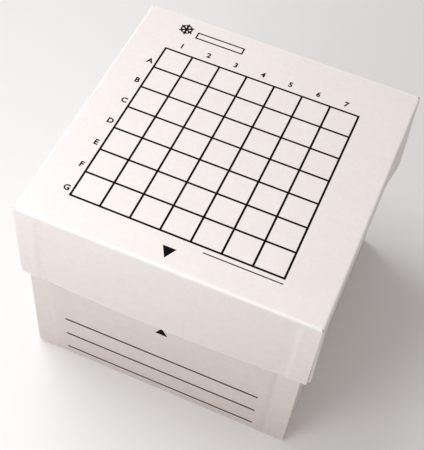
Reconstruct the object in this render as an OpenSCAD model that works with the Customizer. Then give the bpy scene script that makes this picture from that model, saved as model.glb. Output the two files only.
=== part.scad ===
// Telescoping storage box of white folded board for tubes kept in a freezer.
// A deep tray holds a divider of slotted strips, and a shallower lid slides down over the tray.
// +Z is up and the front faces -Y. The origin is at the centre of the tray's underside.

/* [Outer size] */
// Width and depth of the lid, outside
lid_w = 133; // [132:1:140]
// Height of the lid's walls, outside
lid_h = 45; // [30:0.5:60]
// Width and depth of the tray, outside
tray_w = 127; // [122:1:127]
// Height of the closed box
box_h = 111.5; // [90:0.5:130]

/* [Board] */
// Thickness of the tray's and the lid's board
board_t = 1; // [0.8:0.1:1.2]
// Outer radius of every crease
crease_r = 1.5; // [1.4:0.1:2]
// Distance from a corner to the raw side edge of the front and back walls
edge_setback = 0.5; // [0.3:0.1:1]

/* [Glued tabs] */
// Reach of the lid's tabs round its right and left corners
lid_tabs = [9, 9.5]; // [7:0.5:15]
// Reach of the tray's tabs round its right and left corners
tray_tabs = [11, 9]; // [7:0.5:12]
// Distance that a tab stops short of the crease below it and the rim above it
tab_gap = 0.8; // [0.5:0.1:2]
// Height lost to the slope at each end of a tab
tab_bevel = 3; // [1:0.5:6]
// Thickness of the glue film behind a tab
glue_t = 0.1; // [0.05:0.05:0.2]
// Width of the bare margin round each glue film
glue_margin = 1; // [0.5:0.5:2]

/* [Divider] */
// Number of cells along each side
cells = 7; // [5:1:8]
// Height of the strips
strip_h = 62; // [40:1:80]
// Thickness of the strips' board
strip_t = 0.8; // [0.6:0.1:1]
// Clearance between a strip's end and the tray wall
end_gap = 0.5; // [0.3:0.1:1]
// Clearance on each side of a strip in its slot
slot_gap = 0.1; // [0.1:0.05:0.2]
// Extra depth of each slot past half the strip's height
slot_extra = 0.5; // [0.3:0.1:1]

/* [Hidden] */
$fn = 48;

tray_h = box_h - board_t;
tray_inside = tray_w - 2 * board_t;
pitch = tray_inside / cells;
strip_l = tray_inside - 2 * end_gap;
slot_w = strip_t + 2 * slot_gap;
slot_h = strip_h / 2 + slot_extra;

outside_white = "#F1EBE9";
divider_white = "#EDE6E0";
glue_tan = "#D9CBA8";

// Distance from the centre to the outer face of the tabs, which leaves room for the glue
function tab_face(width) = width / 2 - board_t - glue_t;

// Distance of strip i from the middle of the box, counted from 1
function strip_place(i) = (i - cells / 2) * pitch;

// Bent board round a quarter turn, from the +X side to the +Y side, standing on Z = 0
module crease(length)
    rotate_extrude(angle = 90)
        translate([crease_r - board_t, 0])
            square([board_t, length]);

// Wall on the +X side with the crease that joins it to the panel, centred on Y = 0
module wall(width, height, wall_l) {
    panel_l = width - 2 * crease_r;
    translate([panel_l / 2, panel_l / 2, crease_r])
        rotate([90, 0, 0])
            rotate([0, 0, -90])
                crease(panel_l);
    translate([width / 2 - board_t, -wall_l / 2, crease_r])
        cube([board_t, wall_l, height - crease_r]);
}

// Sheet in the corner at +X +Y that faces +Y, as tall as a tab less the margin all round it
module tab_sheet(width, height, reach, thickness, margin) {
    low = crease_r + tab_gap + margin;
    high = height - tab_gap - margin;
    creased = width / 2 - crease_r - margin;
    free = width / 2 - reach + margin;
    rotate([90, 0, 0])
        linear_extrude(thickness)
            polygon([
                [creased, low],
                [creased, high],
                [free, high - tab_bevel],
                [free, low + tab_bevel]
            ]);
}

// Tab of the +X wall, folded round the corner at +X +Y to lie behind the back wall
module tab(width, height, reach) {
    translate([width / 2 - crease_r, tab_face(width) - crease_r, crease_r + tab_gap])
        crease(height - crease_r - 2 * tab_gap);
    translate([0, tab_face(width), 0])
        tab_sheet(width, height, reach, board_t, 0);
}

// Film of glue between that tab and the back wall
module glue_film(width, height, reach)
    translate([0, tab_face(width) + glue_t, 0])
        tab_sheet(width, height, reach, glue_t, glue_margin);

// The tray or the lid before it is turned over: one sheet, with its panel on Z = 0
module folded_sheet(width, height, reaches) {
    panel_l = width - 2 * crease_r;
    translate([-panel_l / 2, -panel_l / 2, 0])
        cube([panel_l, panel_l, board_t]);
    for (side = [0, 1]) {
        mirror([side, 0, 0])
            wall(width, height, 2 * (tab_face(width) - crease_r));
        rotate([0, 0, 90 + 180 * side])
            wall(width, height, width - 2 * edge_setback);
        for (end = [0, 1])
            mirror([side, 0, 0])
                mirror([0, end, 0])
                    tab(width, height, reaches[side]);
    }
}

// The four glue films of such a sheet
module glue_seams(width, height, reaches)
    for (side = [0, 1], end = [0, 1])
        mirror([side, 0, 0])
            mirror([0, end, 0])
                glue_film(width, height, reaches[side]);

// Turns a sheet over, so that its panel is the top of the closed box
module as_lid()
    translate([0, 0, box_h])
        mirror([0, 0, 1])
            children();

// Strip along X, centred on the origin, with its slots open at the top
module slotted_strip()
    difference() {
        translate([-strip_l / 2, -strip_t / 2, 0])
            cube([strip_l, strip_t, strip_h]);
        for (i = [1 : cells - 1])
            translate([strip_place(i) - slot_w / 2, -strip_t, strip_h - slot_h])
                cube([slot_w, 2 * strip_t, slot_h + 1]);
    }

module base_tray()
    color(outside_white)
        folded_sheet(tray_w, tray_h, tray_tabs);

module base_glue_seams()
    color(glue_tan)
        glue_seams(tray_w, tray_h, tray_tabs);

module lid_cover()
    color(outside_white)
        as_lid()
            folded_sheet(lid_w, lid_h, lid_tabs);

module lid_glue_seams()
    color(glue_tan)
        as_lid()
            glue_seams(lid_w, lid_h, lid_tabs);

// Strip between two rows of cells, with row 1 at the back
module row_divider(i)
    color(divider_white)
        translate([0, -strip_place(i), board_t])
            slotted_strip();

// Strip between two columns, with column 1 at the left, turned so that its slots open downwards
module column_divider(i)
    color(divider_white)
        translate([strip_place(i), 0, board_t + strip_h])
            rotate([180, 0, 90])
                slotted_strip();

base_tray();
base_glue_seams();
lid_cover();
lid_glue_seams();
for (i = [1 : cells - 1]) {
    row_divider(i);
    column_divider(i);
}
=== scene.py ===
"""A white freezer box of folded board: a tray, a lid that telescopes over it, and a slotted divider.

The lid and the tray are each one sheet, folded from a flat panel by the same rules. The printing is
a thin film of ink that follows the board under it.
"""

import math
from functools import partial

import bmesh
import bpy
from mathutils import Matrix, Vector, noise


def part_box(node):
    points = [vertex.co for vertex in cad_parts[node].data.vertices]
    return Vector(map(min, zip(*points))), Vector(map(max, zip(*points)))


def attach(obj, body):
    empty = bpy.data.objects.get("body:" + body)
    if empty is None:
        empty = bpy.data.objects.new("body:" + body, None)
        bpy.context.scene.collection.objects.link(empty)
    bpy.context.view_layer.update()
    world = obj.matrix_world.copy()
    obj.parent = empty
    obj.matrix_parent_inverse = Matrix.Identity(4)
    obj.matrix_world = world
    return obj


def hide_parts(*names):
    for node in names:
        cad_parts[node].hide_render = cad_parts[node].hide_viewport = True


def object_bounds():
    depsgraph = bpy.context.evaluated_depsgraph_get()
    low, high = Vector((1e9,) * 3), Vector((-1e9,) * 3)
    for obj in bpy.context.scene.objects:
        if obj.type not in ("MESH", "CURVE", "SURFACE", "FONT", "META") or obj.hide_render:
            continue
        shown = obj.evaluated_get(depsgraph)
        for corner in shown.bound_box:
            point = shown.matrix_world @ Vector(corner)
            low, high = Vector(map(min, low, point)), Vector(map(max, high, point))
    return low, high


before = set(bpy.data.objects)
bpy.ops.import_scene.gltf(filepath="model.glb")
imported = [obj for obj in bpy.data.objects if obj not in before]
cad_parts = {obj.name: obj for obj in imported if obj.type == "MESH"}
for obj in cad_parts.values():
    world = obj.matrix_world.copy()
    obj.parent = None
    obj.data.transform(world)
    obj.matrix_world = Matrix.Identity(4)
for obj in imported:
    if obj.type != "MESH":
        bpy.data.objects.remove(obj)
cad_low, cad_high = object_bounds()

MM = 0.001

# ---------------------------------------------------------------- sizes

LID_LOW, LID_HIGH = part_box("lid_cover")
TRAY_LOW, TRAY_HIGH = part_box("base_tray")
STRIP_LOW, STRIP_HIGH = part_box("row_divider_1")

BOARD = LID_HIGH.z - TRAY_HIGH.z    # the tray's rim carries the underside of the lid's panel
CREASE_R = 1.5 * MM                 # outer radius of a fold
GLUE = 0.1 * MM                     # between a tab and the wall in front of it
LID_TABS = (9.0 * MM, 9.5 * MM)     # reach of the tabs round the right and left corners
TRAY_TABS = (11.0 * MM, 9.0 * MM)
TAB_GAP = 0.3 * MM                  # from a tab's end to the crease or the rim
TAB_BEVEL = 3.0 * MM                # height lost to the slope at each end of a tab
BOARD_ROUNDING = 0.1 * MM           # rounding of the cut edges

CELLS = 7
PITCH = (TRAY_HIGH.x - TRAY_LOW.x - 2 * BOARD) / CELLS
STRIP_L = STRIP_HIGH.x - STRIP_LOW.x
STRIP_T = STRIP_HIGH.y - STRIP_LOW.y
STRIP_H = STRIP_HIGH.z - STRIP_LOW.z
SLOT_W = STRIP_T + 0.2 * MM
SLOT_H = STRIP_H / 2 + 0.5 * MM
STRIP_WARP = 0.16 * MM              # how far a strip warps between its slots
WARP_LENGTH = 12 * MM               # length of such a warp along the strip
WARP_HEIGHT = 30 * MM
STRIP_ROUNDING = 0.08 * MM

# Relief that shows how the board is pulled about
STEP_WIDTH = 2.8 * MM               # width of the step in a wall over the free edge of a tab
GROOVE_REACH = 2.2 * MM             # width of the groove beside that step
GROOVE_PLACE = 1.5                  # from the tab's free edge to that groove's middle, in such widths
SINK_ONSET = 9 * MM                 # from the panel to where a wall is sunk all the way
BOW_CURVE = 1.3                     # above 1, so that a wall bows out most near its rim
HELD_BY_CORNER = 18 * MM            # from a corner to where a side wall is free of it
HELD_BY_PANEL = 6 * MM              # from the panel to where a side wall is free of it
HELD_BY_FOLD = 20 * MM              # from a fold to where the panel is free of it
EAR = 0.5 * MM                      # how far the end of a side fold is pressed out over the corner
FOLD_LEAN = 0.6                     # below 1, to move a fold's whitening, partly crushed coat and partly painted highlight, towards the panel's side
WAVE = 0.05 * MM                    # height of the slow waves in the front and back walls
WAVE_LENGTH = 35 * MM
PANEL_WAVE = 0.5                    # height of the panel's waves beside those
SIDE_WAVE = 2                       # and of the side walls' waves

INK = 0.03 * MM                     # half the thickness of a film of ink

# How far apart the lines of the meshes are
WIDE_STEP = 3 * MM
TAB_STEP = 2 * MM
END_STEP = 1.5 * MM                 # down the front and back walls
FINE_STEP = 0.4 * MM                # near the free edge of a tab
FINE_COUNT = 12                     # lines so close on each side of that edge
LEAST_STEP = 0.15 * MM
EDGE_STEP = 0.45 * MM               # from a fold to the first line beside it
FOLD_STEPS = 8                      # faces round a fold
STRIP_STEP = 3.2 * MM               # along a strip
RISE_STEP = 5 * MM                  # up a strip

PANEL, FRONT, BACK, LEFT, RIGHT = range(5)      # the parts of a sheet, whose waves all differ


def smooth(x):
    """0 up to x = 0 and 1 from x = 1, with a smooth step between."""
    x = min(max(x, 0.0), 1.0)
    return x * x * (3 - 2 * x)


def steps(low, high, size, fine=()):
    """Numbers from low to high about size apart, with closer ones round each number in fine."""
    count = max(1, round((high - low) / size))
    found = {low + (high - low) * i / count for i in range(count + 1)}
    for centre in fine:
        found |= {centre + k * FINE_STEP for k in range(-FINE_COUNT, FINE_COUNT + 1)}
    kept = [low]
    for x in sorted(found):
        if kept[-1] + LEAST_STEP < x < high - LEAST_STEP:
            kept.append(x)
    return kept + [high]


# ---------------------------------------------------------------- closed sheets

class Skin:
    """A sheet with thickness: an outer face and an inner face that match point for point."""

    def __init__(self):
        self.found = {}
        self.outer = []
        self.inner = []
        self.faces = []
        self.marks = {"fold": {}, "backed": {}}

    def point(self, outer, inner):
        """The number of a point, which patches that meet there share."""
        key = tuple(round(c * 1e6) for c in outer)
        if key not in self.found:
            self.found[key] = len(self.outer)
            self.outer.append(outer)
            self.inner.append(inner)
        return self.found[key]

    def patch(self, place, us, vs, thickness, keep=lambda u, v: True, **marks):
        """Adds a grid of faces. place(u, v, depth) is a point of the sheet, depth under its outer face.

        Each of marks is a function of u and v, which the materials read under its name.
        """
        rows = [[self.point(place(u, v, 0.0), place(u, v, thickness)) for v in vs] for u in us]
        for name, mark in marks.items():
            values = self.marks[name]
            for u, row in zip(us, rows):
                for v, i in zip(vs, row):
                    values[i] = max(values.get(i, 0.0), mark(u, v))
        for i in range(len(us) - 1):
            for j in range(len(vs) - 1):
                if keep((us[i] + us[i + 1]) / 2, (vs[j] + vs[j + 1]) / 2):
                    self.faces.append((rows[i][j], rows[i + 1][j], rows[i + 1][j + 1], rows[i][j + 1]))

    def build(self, name, materials, rounding=0.0):
        """A closed mesh object. materials are for the outer face, the inner face and the cut edges."""
        used = sorted({i for face in self.faces for i in face})
        number = {old: new for new, old in enumerate(used)}
        n = len(used)
        sides = {}
        for face in self.faces:
            for a, b in zip(face, face[1:] + face[:1]):
                sides.setdefault(frozenset((a, b)), []).append((a, b))
        rim = [pairs[0] for pairs in sides.values() if len(pairs) == 1]
        vertices = [self.outer[i] for i in used] + [self.inner[i] for i in used]
        faces = [[number[i] for i in face] for face in self.faces]
        faces += [[number[i] + n for i in reversed(face)] for face in self.faces]
        faces += [[number[b], number[a], number[a] + n, number[b] + n] for a, b in rim]
        kinds = [0] * len(self.faces) + [1] * len(self.faces) + [2] * len(rim)
        mesh = bpy.data.meshes.new(name)
        mesh.from_pydata(vertices, [], faces)
        mesh.polygons.foreach_set("material_index", kinds)
        for material in materials:
            mesh.materials.append(material)
        cut = {i: 1.0 for pair in rim for i in pair}
        for label, values in {**self.marks, "cut": cut}.items():
            data = mesh.attributes.new(label, "FLOAT", "POINT").data
            data.foreach_set("value", [values.get(i, 0.0) for i in used] * 2)
        return finished(name, mesh, rounding)


def finished(name, mesh, rounding):
    """Links a closed mesh, with its normals out and smooth but for its sharp edges, which it may round."""
    work = bmesh.new()
    work.from_mesh(mesh)
    bmesh.ops.recalc_face_normals(work, faces=work.faces)
    work.to_mesh(mesh)
    work.free()
    mesh.shade_smooth()
    piece = bpy.data.objects.new(name, mesh)
    bpy.context.scene.collection.objects.link(piece)
    if rounding:
        bevel = piece.modifiers.new("worn_edges", "BEVEL")
        bevel.width = rounding
        bevel.segments = 2
        bevel.limit_method = "ANGLE"
        bevel.angle_limit = math.radians(50)
        piece.modifiers.new("face_normals", "WEIGHTED_NORMAL")
    else:
        mesh.set_sharp_from_angle(angle=math.radians(40))
    return piece


# ---------------------------------------------------------------- the folded board

class FoldedSheet:
    """The lid or the tray: a square panel, four walls, and tabs on the right and left walls.

    A place on it is given by its distance along the sheet past the panel's edge, round the fold and
    then straight towards the rim. sign is -1 for the front or left and 1 for the back or right.
    """

    def __init__(self, cad_node, panel_up, tabs, seed, **pulled):
        low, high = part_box(cad_node)
        self.half = (high.x - low.x) / 2
        self.height = high.z - low.z
        self.panel_z = high.z if panel_up else low.z
        self.to_rim = -1 if panel_up else 1
        self.tabs = tabs
        self.seed = seed
        self.sink = pulled["sink"]        # how far a front or back wall sinks between its tabs
        self.groove = pulled["groove"]    # how much deeper it sinks just beside a tab
        self.bow = pulled["bow"]          # how far such a wall bows out at the rim
        self.crown = pulled["crown"]      # how far the fold of the back wall bulges out
        self.dip = pulled["dip"]          # how far a side wall dips in at the rim
        self.flare = pulled["flare"]      # how far the right corners stand out at the rim
        self.askew = pulled["askew"]      # how much higher the rim is cut at the right than in the middle
        self.setback = pulled["setback"]  # from the right and left corners to the raw edges beside them
        self.flat = self.half - CREASE_R
        self.corner = self.half - BOARD - GLUE - CREASE_R
        self.arc = (CREASE_R - BOARD / 2) * math.pi / 2
        self.rim = self.arc + self.height - CREASE_R

    def turn(self, along):
        """The angle through which a fold has turned."""
        return min(along / self.arc, 1.0) * math.pi / 2

    def bulge(self, along):
        """1 in the middle of a fold, and 0 before and after it."""
        return math.sin(math.pi * min(along / self.arc, 1.0))

    def beyond(self, along):
        """Distance past the end of the fold."""
        return max(along - self.arc, 0.0)

    def crushed_and_highlit(self, along, lean=1.0):
        """How whitened a fold's coat is, from 0 to 1: partly a crushed coat, partly a painted highlight. A
        lean below 1 moves that towards its start.
        """
        return math.sin(math.pi * (along / self.arc) ** lean) ** 2

    def reach(self, sign):
        """Reach of the right or left tabs past the fold that turns them."""
        return self.tabs[0 if sign > 0 else 1] - CREASE_R

    def at(self, x, y, drop):
        """The point at x and y whose height is drop away from the panel's outer face, towards the rim."""
        cut = 1 - self.askew / self.height * x / self.half
        return x, y, self.panel_z + self.to_rim * drop * cut

    def section(self, along, depth):
        """Distance out from the middle, and drop."""
        turn = self.turn(along)
        out = self.flat + (CREASE_R - depth) * math.sin(turn)
        drop = CREASE_R - (CREASE_R - depth) * math.cos(turn)
        return out, drop + self.beyond(along)

    def wave(self, a, b, part):
        """Slow waves, different in each part of the sheet."""
        return WAVE * noise.noise(Vector((a / WAVE_LENGTH, b / WAVE_LENGTH, self.seed + 7.3 * part)))

    def panel(self, x, y, depth):
        """A point of the panel, depth under its outer face."""
        free = smooth((self.flat - abs(x)) / HELD_BY_FOLD) * smooth((self.flat - abs(y)) / HELD_BY_FOLD)
        return self.at(x, y, depth - PANEL_WAVE * free * self.wave(x, y, PANEL))

    def past_tabs(self, across):
        """How far a place on a front or back wall is past the free edges of the right and left tabs."""
        return across - self.half + self.tabs[0], -across - self.half + self.tabs[1]

    def backed(self, across):
        """1 where a tab is glued behind a front or back wall, and 0 between the tabs."""
        return sum(smooth(past / STEP_WIDTH + 0.5) for past in self.past_tabs(across))

    def relief(self, across, drop, wall):
        """How far a front or back wall stands out: sunk between its tabs and bowed out at the rim."""
        places = [past / GROOVE_REACH + GROOVE_PLACE for past in self.past_tabs(across)]
        beside = sum(math.exp(-(place ** 2)) for place in places)
        sunk = (1 - self.backed(across)) * (self.wave(across, drop, wall) - self.sink)
        bowed = self.bow * (1 - (across / self.half) ** 2) * (drop / self.height) ** BOW_CURVE
        return (sunk - self.groove * beside) * smooth(drop / SINK_ONSET) + bowed

    def end_wall(self, sign, share, along, depth):
        """A point of the front or back wall, share of the way from its middle to its side edge."""
        setback = self.setback[0 if share > 0 else 1]
        across = share * (self.flat + (CREASE_R - setback) * math.sin(self.turn(along)))
        out, drop = self.section(along, depth)
        out += self.relief(across, drop, FRONT if sign < 0 else BACK)
        if sign > 0:
            out += self.crown * self.bulge(along)
        return self.at(across, sign * out, drop)

    def spring(self, sign, drop):
        """How far the corners of the right wall spring out, more and more towards the rim."""
        return self.flare * smooth(drop / self.height) if sign > 0 else 0.0

    def side_relief(self, sign, across, drop):
        """How far a side wall stands out: the corners hold it, and between them it dips in at the rim."""
        free = smooth((self.corner - abs(across)) / HELD_BY_CORNER)
        lift = smooth(drop / HELD_BY_PANEL) * self.wave(across, drop, LEFT if sign < 0 else RIGHT)
        dipped = SIDE_WAVE * lift - self.dip * smooth(drop / self.height)
        return free * dipped + (1 - free) * self.spring(sign, drop)

    def side_wall(self, sign, share, along, depth):
        """A point of the right or left wall, share of the way from its middle to the corner."""
        settled = min(self.beyond(along) / TAB_GAP, 1.0)
        across = share * (self.flat + (self.corner - self.flat) * settled + EAR * self.bulge(along))
        out, drop = self.section(along, depth)
        out += self.side_relief(sign, across, drop)
        return self.at(sign * out, across, drop)

    def tab(self, sign, end, past, along, depth):
        """A point of a tab, which turns round the corner from the side wall to lie behind the end wall.

        past is how far it is past the corner's start, and end is -1 in front and 1 at the back.
        """
        turn = self.turn(past)
        out = self.flat + (CREASE_R - depth) * math.cos(turn) - self.beyond(past)
        across = self.corner + (CREASE_R - depth) * math.sin(turn)
        middle = (self.arc + self.rim) / 2
        half = self.rim - TAB_GAP - middle
        slope = 1 - TAB_BEVEL / half * self.beyond(past) / self.reach(sign)
        drop = CREASE_R - self.arc + middle + (along - middle) * slope
        out += self.spring(sign, drop)
        return self.at(sign * out, end * across, drop)

    def columns(self, fine=()):
        """Places across the panel, close together near its edges and near each place in fine."""
        inner = steps(-self.flat + WIDE_STEP, self.flat - WIDE_STEP, WIDE_STEP, fine)
        return [-self.flat, -self.flat + EDGE_STEP, *inner, self.flat - EDGE_STEP, self.flat]

    def build(self, name, materials):
        """The sheet as one piece: the panel, then each wall with the fold and the tabs that it has."""
        skin = Skin()
        fold = [self.arc * i / FOLD_STEPS for i in range(FOLD_STEPS + 1)]
        right, left = (self.half - reach for reach in self.tabs)
        xs = self.columns((right, -left))
        ys = self.columns()
        end_shares = [x / self.flat for x in xs]
        side_shares = [y / self.flat for y in ys]
        tab_rows = steps(self.arc + TAB_GAP, self.rim - TAB_GAP, WIDE_STEP)
        side_rows = [self.arc, *tab_rows, self.rim]
        end_rows = [self.arc, *steps(self.arc + TAB_GAP, self.rim, END_STEP)]

        def by_panel(share, along):
            return self.crushed_and_highlit(along, FOLD_LEAN)

        def round_corner(past, along):
            return self.crushed_and_highlit(past)

        def over_tab(share, along):
            return self.backed(share * self.half)

        skin.patch(self.panel, xs, ys, BOARD)
        for sign in (-1, 1):
            end_wall = partial(self.end_wall, sign)
            side_wall = partial(self.side_wall, sign)
            skin.patch(end_wall, end_shares, fold, BOARD, fold=by_panel)
            skin.patch(end_wall, end_shares, end_rows, BOARD, backed=over_tab)
            skin.patch(side_wall, side_shares, fold, BOARD, fold=by_panel)
            skin.patch(side_wall, side_shares, side_rows, BOARD)
            for end in (-1, 1):
                tab = partial(self.tab, sign, end)
                past_corner = steps(self.arc, self.arc + self.reach(sign), TAB_STEP)
                skin.patch(tab, fold, tab_rows, BOARD, fold=round_corner)
                skin.patch(tab, past_corner, tab_rows, BOARD)
        return skin.build(name, materials, BOARD_ROUNDING)


# ---------------------------------------------------------------- materials

WHITE_WEAR_AND_HIGHLIGHT = (0.99, 0.975, 0.95)       # colour of a crushed coat at the cut edges; on the folds it is partly a painted highlight
FOLD_GLOSS = 0.28                   # how much less rough a burnished fold is
CUT_WEAR = 0.25                     # how worn a cut edge is, where a fold is 1


def new_material(name):
    material = bpy.data.materials.new(name)
    material.use_nodes = True
    tree = material.node_tree
    return material, tree, tree.nodes["Principled BSDF"]


def node(tree, kind, inputs=None, **settings):
    """A node with its settings, whose inputs are set to values or linked to sockets."""
    made = tree.nodes.new(kind)
    for key, value in settings.items():
        setattr(made, key, value)
    for key, value in (inputs or {}).items():
        if isinstance(value, bpy.types.NodeSocket):
            tree.links.new(value, made.inputs[key])
        else:
            made.inputs[key].default_value = value
    return made


def connect(tree, shader, colour, roughness, normal=None):
    tree.links.new(colour, shader.inputs["Base Color"])
    tree.links.new(roughness, shader.inputs["Roughness"])
    if normal:
        tree.links.new(normal, shader.inputs["Normal"])


def object_place(tree):
    return node(tree, "ShaderNodeTexCoord").outputs["Object"]


def noise_value(tree, per_mm, detail=3.0, roughness=0.55, stretch=(1, 1, 1)):
    """Noise from 0 to 1 with per_mm features to the millimetre, squeezed along each axis by stretch."""
    mapping = {"Vector": object_place(tree), "Scale": [s / MM for s in stretch]}
    place = node(tree, "ShaderNodeMapping", mapping).outputs["Vector"]
    inputs = {"Vector": place, "Scale": per_mm, "Detail": detail, "Roughness": roughness}
    return node(tree, "ShaderNodeTexNoise", inputs).outputs["Fac"]


def math_node(tree, operation, a, b):
    return node(tree, "ShaderNodeMath", {0: a, 1: b}, operation=operation).outputs[0]


def spread(tree, value, low, high):
    """Noise around 0.5 taken to the range from low to high."""
    inputs = {"Value": value, "From Min": 0.3, "From Max": 0.7, "To Min": low, "To Max": high}
    return node(tree, "ShaderNodeMapRange", inputs).outputs["Result"]


def mix_colour(tree, factor, a, b, blend="MIX"):
    """Mixes two colours, each a socket or three numbers."""
    mixed = node(tree, "ShaderNodeMix", data_type="RGBA", blend_type=blend)
    sockets = {s.identifier: s for s in mixed.inputs}
    for key, value in (("Factor_Float", factor), ("A_Color", a), ("B_Color", b)):
        if isinstance(value, bpy.types.NodeSocket):
            tree.links.new(value, sockets[key])
        elif isinstance(value, tuple):
            sockets[key].default_value = (*value, 1)
        else:
            sockets[key].default_value = value
    return next(s for s in mixed.outputs if s.identifier == "Result_Color")


def bump(tree, height, strength, depth):
    """A normal for a surface roughened by a height from 0 to 1."""
    inputs = {"Height": height, "Strength": strength, "Distance": depth}
    return node(tree, "ShaderNodeBump", inputs).outputs["Normal"]


def attribute(tree, name):
    return node(tree, "ShaderNodeAttribute", attribute_name=name).outputs["Fac"]


def painted_height_shade(tree, colour, shade_tint, unshaded_z, shaded_z):
    """A colour darkened by painted shade, which grows little by little from the first height given to the
    second.
    """
    height = node(tree, "ShaderNodeSeparateXYZ", {"Vector": object_place(tree)}).outputs["Z"]
    inputs = {"Value": height, "From Min": unshaded_z, "From Max": shaded_z}
    share = node(tree, "ShaderNodeMapRange", inputs).outputs["Result"]
    return mix_colour(tree, share, colour, shade_tint, "MULTIPLY")


def board_material(name, light, dark, gloss, coat=0.0, height_shade=None, double=1.0):
    """Clay-coated board: faint clouds, mottle and fibres, and a whiter coat where it is cut, as wear, and
    where it is folded, partly crushed coat and partly a painted highlight.

    A tint with two heights, when given, darkens the board by painted shade, little by little from the first
    height to the second. The board is double times as light where a tab behind it makes it more opaque.
    """
    material, tree, shader = new_material(name)
    clouds = noise_value(tree, 0.06, 2.0)
    mottle = noise_value(tree, 0.35, 3.0, 0.6)
    fibres = noise_value(tree, 1.6, 4.0, 0.6, (1.0, 0.35, 1.0))
    grain = noise_value(tree, 7.0, 2.0, 0.6)
    flecks = noise_value(tree, 2.6, 3.0)
    fine = math_node(tree, "ADD", spread(tree, mottle, -0.1, 0.5), spread(tree, fibres, 0.0, 0.3))
    tone = math_node(tree, "ADD", spread(tree, clouds, 0.0, 0.3), fine)
    colour = mix_colour(tree, tone, dark, light)
    if height_shade:
        # Painted shade: the walls grow darker downwards, towards the floor.
        colour = painted_height_shade(tree, colour, *height_shade)
        colour = mix_colour(tree, attribute(tree, "backed"), colour, (double, double, double), "MULTIPLY")
    fold = attribute(tree, "fold")
    # The folds are whitened partly as a crushed coat and partly as a painted highlight; the cut edges as
    # wear.
    worn = math_node(tree, "MAXIMUM", fold, math_node(tree, "MULTIPLY", attribute(tree, "cut"), CUT_WEAR))
    white_wear_and_highlight = math_node(tree, "MULTIPLY", worn, spread(tree, flecks, 0.75, 1.0))
    colour = mix_colour(tree, white_wear_and_highlight, colour, WHITE_WEAR_AND_HIGHLIGHT)
    burnished = math_node(tree, "MULTIPLY", fold, FOLD_GLOSS)
    rough = math_node(tree, "SUBTRACT", spread(tree, fibres, gloss - 0.05, gloss + 0.05), burnished)
    nap = math_node(tree, "ADD", math_node(tree, "MULTIPLY", fibres, 0.7),
                    math_node(tree, "MULTIPLY", grain, 0.3))
    connect(tree, shader, colour, rough, bump(tree, nap, 0.25, 0.03 * MM))
    shader.inputs["Specular IOR Level"].default_value = 0.5
    shader.inputs["Coat Weight"].default_value = coat
    shader.inputs["Coat Roughness"].default_value = 0.3
    return material


def core_material(name, colour):
    """The fibrous middle of a board, where it was cut."""
    material, tree, shader = new_material(name)
    layers = noise_value(tree, 2.2, 4.0, 0.7)
    fuzz = noise_value(tree, 9.0, 3.0, 0.7)
    tone = math_node(tree, "MULTIPLY", spread(tree, layers, 0.5, 1.2), spread(tree, fuzz, 0.8, 1.1))
    dark = tuple(c * 0.72 for c in colour)
    connect(tree, shader, mix_colour(tree, tone, dark, colour), spread(tree, fuzz, 0.85, 1.0),
            bump(tree, fuzz, 0.6, 0.08 * MM))
    shader.inputs["Specular IOR Level"].default_value = 0.2
    return material


def ink_material(name, solid, thin, gloss):
    """Printed ink: almost even, thinner here and there where the board's fibres stand up."""
    material, tree, shader = new_material(name)
    cover = noise_value(tree, 5.0, 3.0, 0.6)
    worn = spread(tree, cover, -0.3, 0.55)
    connect(tree, shader, mix_colour(tree, worn, solid, thin), spread(tree, cover, gloss, gloss + 0.15),
            bump(tree, cover, 0.2, 0.02 * MM))
    shader.inputs["Specular IOR Level"].default_value = 0.05
    return material


def glue_material():
    material, tree, shader = new_material("dried_glue")
    blobs = noise_value(tree, 0.8, 4.0, 0.6)
    colour = mix_colour(tree, spread(tree, blobs, 0, 1), (0.62, 0.50, 0.30), (0.80, 0.70, 0.50))
    connect(tree, shader, colour, spread(tree, blobs, 0.3, 0.6))
    return material


def floor_material():
    material, tree, shader = new_material("pale_floor")
    clouds = noise_value(tree, 0.01, 3.0)
    colour = mix_colour(tree, clouds, (0.90, 0.895, 0.89), (0.93, 0.925, 0.92))
    connect(tree, shader, colour, spread(tree, clouds, 0.6, 0.75))
    return material


# The tint and heights of each coat paint shade that darkens its walls downwards, towards the floor.
LID_COAT = board_material(
    "lid_coated_board", (0.916, 0.853, 0.836), (0.856, 0.793, 0.776), gloss=0.5, coat=0.08,
    height_shade=((0.931, 0.917, 0.906), LID_HIGH.z - 3 * MM, LID_LOW.z), double=1.022)
# The tray's coat is darker than the lid's: partly its own greyer, warmer tone, partly painted shade from
# the lid's overhang and the light falling off lower down.
TRAY_COAT_AND_SHADE = board_material(
    "tray_board_with_painted_shade", (0.787, 0.721, 0.696), (0.728, 0.662, 0.637), gloss=0.52, coat=0.05,
    height_shade=((0.878, 0.853, 0.845), LID_LOW.z, TRAY_LOW.z), double=1.05)
LINER = board_material("board_liner", (0.880, 0.835, 0.810), (0.835, 0.790, 0.762), gloss=0.62)
CORE = core_material("board_core", (0.70, 0.64, 0.58))
DIVIDER = board_material("divider_board", (0.865, 0.820, 0.780), (0.800, 0.755, 0.712), gloss=0.66)
DIVIDER_CORE = core_material("divider_core", (0.66, 0.60, 0.53))
BLACK = ink_material("black_ink", (0.003, 0.003, 0.003), (0.009, 0.008, 0.008), gloss=0.6)
GREY = ink_material("grey_ink", (0.034, 0.019, 0.012), (0.068, 0.045, 0.032), gloss=0.55)
DRIED_GLUE = glue_material()


# ---------------------------------------------------------------- the lid and the tray

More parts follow.
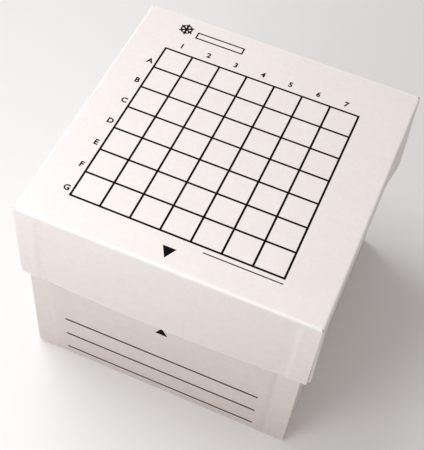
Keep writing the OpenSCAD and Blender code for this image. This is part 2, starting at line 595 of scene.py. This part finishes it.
LID = FoldedSheet(
    "lid_cover", True, LID_TABS, seed=1.7, sink=0.45 * MM, groove=0.15 * MM, bow=1.8 * MM, crown=0.6 * MM,
    dip=1.1 * MM, flare=0.9 * MM, askew=0.75 * MM, setback=(0.45 * MM, 0.45 * MM))
TRAY = FoldedSheet(
    "base_tray", False, TRAY_TABS, seed=5.1, sink=-0.45 * MM, groove=-0.1 * MM, bow=0.15 * MM, crown=0.0,
    dip=0.6 * MM, flare=0.0, askew=0.0, setback=(0.1 * MM, -0.6 * MM))

for sheet, cad_node, piece_name, body, coat in (
    (LID, "lid_cover", "lid_board", "lid", LID_COAT),
    (TRAY, "base_tray", "tray_board", "base", TRAY_COAT_AND_SHADE),
):
    board = sheet.build(piece_name, (coat, LINER, CORE))
    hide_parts(cad_node)
    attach(board, body)

for cad_node in ("base_glue_seams", "lid_glue_seams"):
    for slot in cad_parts[cad_node].material_slots:
        slot.material = DRIED_GLUE


# ---------------------------------------------------------------- the divider

def strip_skin(seed, slots_up):
    """A slotted strip along X, standing on z = 0 and centred on y = 0."""
    half = STRIP_L / 2
    places = [(i - CELLS / 2) * PITCH for i in range(1, CELLS)]
    edges = [p + side * SLOT_W / 2 for p in places for side in (-1, 1)]
    stops = sorted([-half, half, *edges])
    us = sorted({x for a, b in zip(stops, stops[1:]) for x in steps(a, b, STRIP_STEP)})
    closed = STRIP_H - SLOT_H
    vs = steps(0, closed, RISE_STEP) + steps(closed, STRIP_H, RISE_STEP)[1:]

    def warp(u, v):
        free = math.sin(math.pi * (u / PITCH + CELLS / 2)) ** 2
        return STRIP_WARP * free * noise.noise(Vector((u / WARP_LENGTH, v / WARP_HEIGHT, seed)))

    def place(u, v, depth):
        z = v if slots_up else STRIP_H - v
        return u, depth - STRIP_T / 2 + warp(u, v), z

    def keep(u, v):
        return v < closed or all(abs(u - p) > SLOT_W / 2 for p in places)

    skin = Skin()
    skin.patch(place, us, vs, STRIP_T, keep)
    return skin


for kind, slots_up in (("row", True), ("column", False)):
    turn = Matrix.Identity(4) if slots_up else Matrix.Rotation(math.pi / 2, 4, "Z")
    for i in range(1, CELLS):
        cad_node = f"{kind}_divider_{i}"
        low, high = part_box(cad_node)
        middle = (low + high) / 2
        skin = strip_skin(3.1 * i + (0 if slots_up else 50), slots_up)
        strip = skin.build(f"{kind}_strip_{i}", (DIVIDER, DIVIDER, DIVIDER_CORE), STRIP_ROUNDING)
        strip.data.transform(Matrix.Translation((middle.x, middle.y, low.z)) @ turn)
        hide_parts(cad_node)
        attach(strip, "divider")


# ---------------------------------------------------------------- the printing

# A flat is a mesh as (points, faces), with its points as (x, y) on the lid or (x, z) on the tray's front.

GRID_CELL = 13.3 * MM
GRID_LEFT = -48.6 * MM
GRID_BACK = 42.6 * MM
GRID_LINE = 0.95 * MM
LABEL_HEIGHT = 3.0 * MM
LABEL_WEIGHT = 0.036                # how much bolder the strokes are, in font units
NUMBERS_BEHIND = 4.45 * MM          # from the grid to the middle of the numbers
LETTERS_BESIDE = 3.0 * MM           # from the grid to the middle of the letters
NUMBER_PLACE = 0.47                 # from a column's left line to its number's middle, in cells
LETTER_PLACE = 0.78                 # from a row's back line to its letter's middle, in cells
WRITING_HEIGHTS = (32.9 * MM, 19.75 * MM, 6.95 * MM)
WRITING_LINE = 1.2 * MM
WRITING_SKEW = 0.0075               # slope of the lines to write on, which are printed a touch askew


def film(name, flat, place, material, body):
    """Lays a flat on the board as a closed film of ink."""
    points, faces = flat
    skin = Skin()
    skin.outer = [place(x, y, -INK) for x, y in points]
    skin.inner = [place(x, y, INK) for x, y in points]
    skin.faces = [tuple(face) for face in faces]
    piece = skin.build(name, (material, material, material))
    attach(piece, body)


def on_tray_front(x, z, depth):
    """A point of the tray's front wall, depth under its face."""
    out, drop = TRAY.section(z - CREASE_R + TRAY.arc, depth)
    return TRAY.at(x, -out - TRAY.relief(x, drop, FRONT), drop)


def joined(flats):
    points, faces = [], []
    for more_points, more_faces in flats:
        start = len(points)
        points += more_points
        faces += [[i + start for i in face] for face in more_faces]
    return points, faces


def moved(flat, x, y, scale):
    points, faces = flat
    return [(x + scale * px, y + scale * py) for px, py in points], faces


def lattice(xs, ys, keep=lambda x, y: True):
    """The cells between those lines for which keep(x, y) holds at their middle, with shared corners."""
    points = [(x, y) for x in xs for y in ys]
    faces = []
    for i in range(len(xs) - 1):
        for j in range(len(ys) - 1):
            if keep((xs[i] + xs[i + 1]) / 2, (ys[j] + ys[j + 1]) / 2):
                a = i * len(ys) + j
                faces.append([a, a + len(ys), a + len(ys) + 1, a + 1])
    return points, faces


def bar_flat(x0, x1, y0, y1):
    return lattice(steps(x0, x1, WIDE_STEP), [y0, y1])


def grid_flat():
    """The seven by seven grid as one mesh of lines."""
    columns = [GRID_LEFT + i * GRID_CELL for i in range(CELLS + 1)]
    rows = [GRID_BACK - i * GRID_CELL for i in range(CELLS + 1)]

    def cuts(lines):
        edges = sorted(line + side * GRID_LINE / 2 for line in lines for side in (-1, 1))
        return sorted({x for a, b in zip(edges, edges[1:]) for x in steps(a, b, WIDE_STEP)})

    def near(value, lines):
        return any(abs(value - line) < GRID_LINE / 2 for line in lines)

    return lattice(cuts(columns), cuts(rows), lambda x, y: near(x, columns) or near(y, rows))


def letter_flat(letter):
    """The filled outline of a letter or number as the font has it, in font units."""
    curve = bpy.data.curves.new("glyph", "FONT")
    curve.body = letter
    curve.offset = LABEL_WEIGHT
    curve.resolution_u = 2
    carrier = bpy.data.objects.new("glyph", curve)
    bpy.context.scene.collection.objects.link(carrier)
    shown = carrier.evaluated_get(bpy.context.evaluated_depsgraph_get())
    mesh = bpy.data.meshes.new_from_object(shown)
    work = bmesh.new()
    work.from_mesh(mesh)
    bmesh.ops.remove_doubles(work, verts=work.verts, dist=1e-5)
    points = [(v.co.x, v.co.y) for v in work.verts]
    faces = [[v.index for v in f.verts] for f in work.faces]
    work.free()
    bpy.data.objects.remove(carrier)
    bpy.data.curves.remove(curve)
    bpy.data.meshes.remove(mesh)
    return points, faces


def label_flat(letter):
    """A letter or number centred on the origin, with its capitals one unit high."""
    heights = [y for _, y in letter_flat("E")[0]]
    low = min(heights)
    cap = max(heights) - low
    points, faces = letter_flat(letter)
    widths = [x for x, _ in points]
    centre = (min(widths) + max(widths)) / 2
    return [((x - centre) / cap, (y - low) / cap - 0.5) for x, y in points], faces


def labels_flat():
    """The column numbers behind the grid and the row letters beside it."""
    flats = []
    for i, number in enumerate("1234567"):
        x = GRID_LEFT + (i + NUMBER_PLACE) * GRID_CELL
        flats.append(moved(label_flat(number), x, GRID_BACK + NUMBERS_BEHIND, LABEL_HEIGHT))
    for i, letter in enumerate("ABCDEFG"):
        y = GRID_BACK - (i + LETTER_PLACE) * GRID_CELL
        flats.append(moved(label_flat(letter), GRID_LEFT - LETTERS_BESIDE, y, LABEL_HEIGHT))
    return joined(flats)


def arrow_flat(x, base, tip, width):
    return [(x - width / 2, base), (x + width / 2, base), (x, tip)], [[0, 1, 2]]


def snowflake_flat(x, y, size):
    """A plain six-armed snowflake, the usual sign for cold storage."""
    arm = 0.062 * size                  # half the width of an arm
    branch = 0.055 * size               # half the width of a branch
    lean = math.radians(60)             # between an arm and its branches
    along = Vector((math.sin(lean), math.cos(lean)))
    across = Vector((along.y, -along.x)) * branch
    root = Vector((0, 0.27 * size))
    tip = root + along * 0.2 * size

    def on_arm(point):
        """Where a branch's edge through that point leaves the arm."""
        return point + along * ((arm - point.x) / along.x)

    right = [
        Vector((arm, arm * math.sqrt(3))),
        on_arm(root + across),
        tip + across,
        tip - across,
        on_arm(root - across),
        Vector((arm, size / 2)),
    ]
    left = [Vector((-p.x, p.y)) for p in reversed(right[1:])]
    outline = [*right, *left]
    points = []
    for k in range(6):
        turn = Matrix.Rotation(-k * math.pi / 3, 2)
        points += [tuple(Vector((x, y)) + turn @ p) for p in reversed(outline)]
    return points, [list(range(len(points)))]


def field_flat(x0, x1, y0, y1, line):
    """An empty outlined field."""
    xs = sorted({x0, x1, *steps(x0 + line, x1 - line, WIDE_STEP)})
    ys = [y0, y0 + line, y1 - line, y1]

    def on_line(x, y):
        return not (x0 + line < x < x1 - line and y0 + line < y < y1 - line)

    return lattice(xs, ys, on_line)


def writing_lines_flat():
    """Three lines to write on."""
    points, faces = joined([bar_flat(-48.0 * MM, 47.5 * MM, z, z + WRITING_LINE) for z in WRITING_HEIGHTS])
    return [(x, z + WRITING_SKEW * x) for x, z in points], faces


for piece_name, flat in (
    ("lid_grid_print", grid_flat()),
    ("lid_labels_print", labels_flat()),
    ("lid_arrow_print", arrow_flat(x=-1.7 * MM, base=-56.4 * MM, tip=-61.8 * MM, width=5.9 * MM)),
    ("lid_snowflake_print", snowflake_flat(x=-45.0 * MM, y=58.0 * MM, size=7.0 * MM)),
    ("lid_name_field_print", field_flat(-39.3 * MM, -15.8 * MM, 54.4 * MM, 58.6 * MM, line=0.7 * MM)),
    ("lid_date_line_print", bar_flat(11.1 * MM, 45.0 * MM, -53.4 * MM, -52.9 * MM)),
):
    film(piece_name, flat, LID.panel, BLACK, "lid")

tray_arrow = arrow_flat(x=-0.1 * MM, base=54.6 * MM, tip=60.0 * MM, width=5.7 * MM)
film("tray_lines_print", writing_lines_flat(), on_tray_front, GREY, "base")
film("tray_arrow_print", tray_arrow, on_tray_front, BLACK, "base")


# ---------------------------------------------------------------- floor, light and camera

def add_floor(reach=3.0, gap=0.1 * MM):
    """A pale floor, a hair below the tray so that the two faces don't fight."""
    mesh = bpy.data.meshes.new("floor")
    corners = [(-reach, -reach), (reach, -reach), (reach, reach), (-reach, reach)]
    mesh.from_pydata([(x, y, cad_low.z - gap) for x, y in corners], [], [(0, 1, 2, 3)])
    mesh.materials.append(floor_material())
    floor = bpy.data.objects.new("floor", mesh)
    bpy.context.scene.collection.objects.link(floor)


def add_softbox(name, place, aim, side, power, colour):
    """A square area light that faces aim."""
    data = bpy.data.lights.new(name, "AREA")
    data.shape = "SQUARE"
    data.size = side
    data.energy = power
    data.color = colour
    light = bpy.data.objects.new(name, data)
    light.location = place
    light.rotation_euler = (Vector(aim) - Vector(place)).to_track_quat("-Z", "Y").to_euler()
    bpy.context.scene.collection.objects.link(light)


def add_world(colour, strength):
    world = bpy.data.worlds.new("soft_white")
    world.use_nodes = True
    background = world.node_tree.nodes["Background"]
    background.inputs["Color"].default_value = (*colour, 1)
    background.inputs["Strength"].default_value = strength
    bpy.context.scene.world = world


def add_camera():
    """Looks down on the box from in front, a little from the right and a little rolled."""
    azimuth, elevation, roll = (math.radians(a) for a in (17.46, 54.46, 6.81))
    distance = 398.1 * MM
    aim = Vector((9.1 * MM, -39.3 * MM, cad_high.z))
    turn = (Matrix.Rotation(azimuth, 3, "Z") @ Matrix.Rotation(math.pi / 2 - elevation, 3, "X")
            @ Matrix.Rotation(roll, 3, "Z"))
    data = bpy.data.cameras.new("camera")
    data.sensor_width = 36
    data.lens = 79.58
    data.clip_start = 0.01
    camera = bpy.data.objects.new("camera", data)
    camera.rotation_mode = "QUATERNION"
    camera.rotation_quaternion = turn.to_quaternion()
    camera.location = aim + turn @ Vector((0, 0, distance))
    bpy.context.scene.collection.objects.link(camera)
    bpy.context.scene.camera = camera


add_floor()
add_softbox("key", (-0.15, -0.30, 0.25), (0, 0, 0.08), side=0.2, power=0.405, colour=(0.96, 0.99, 1.0))
add_softbox("fill", (-0.05, -0.22, 0.30), (0, -0.05, 0.08), side=0.15, power=0.066, colour=(1.0, 0.99, 1.0))
add_softbox("top", (-0.30, 0.10, 0.60), (0, 0, 0.08), side=0.4, power=2.02, colour=(0.97, 0.995, 1.0))
add_world((1.0, 0.945, 0.925), 0.44)
add_camera()
bpy.context.scene.view_settings.view_transform = "Standard"
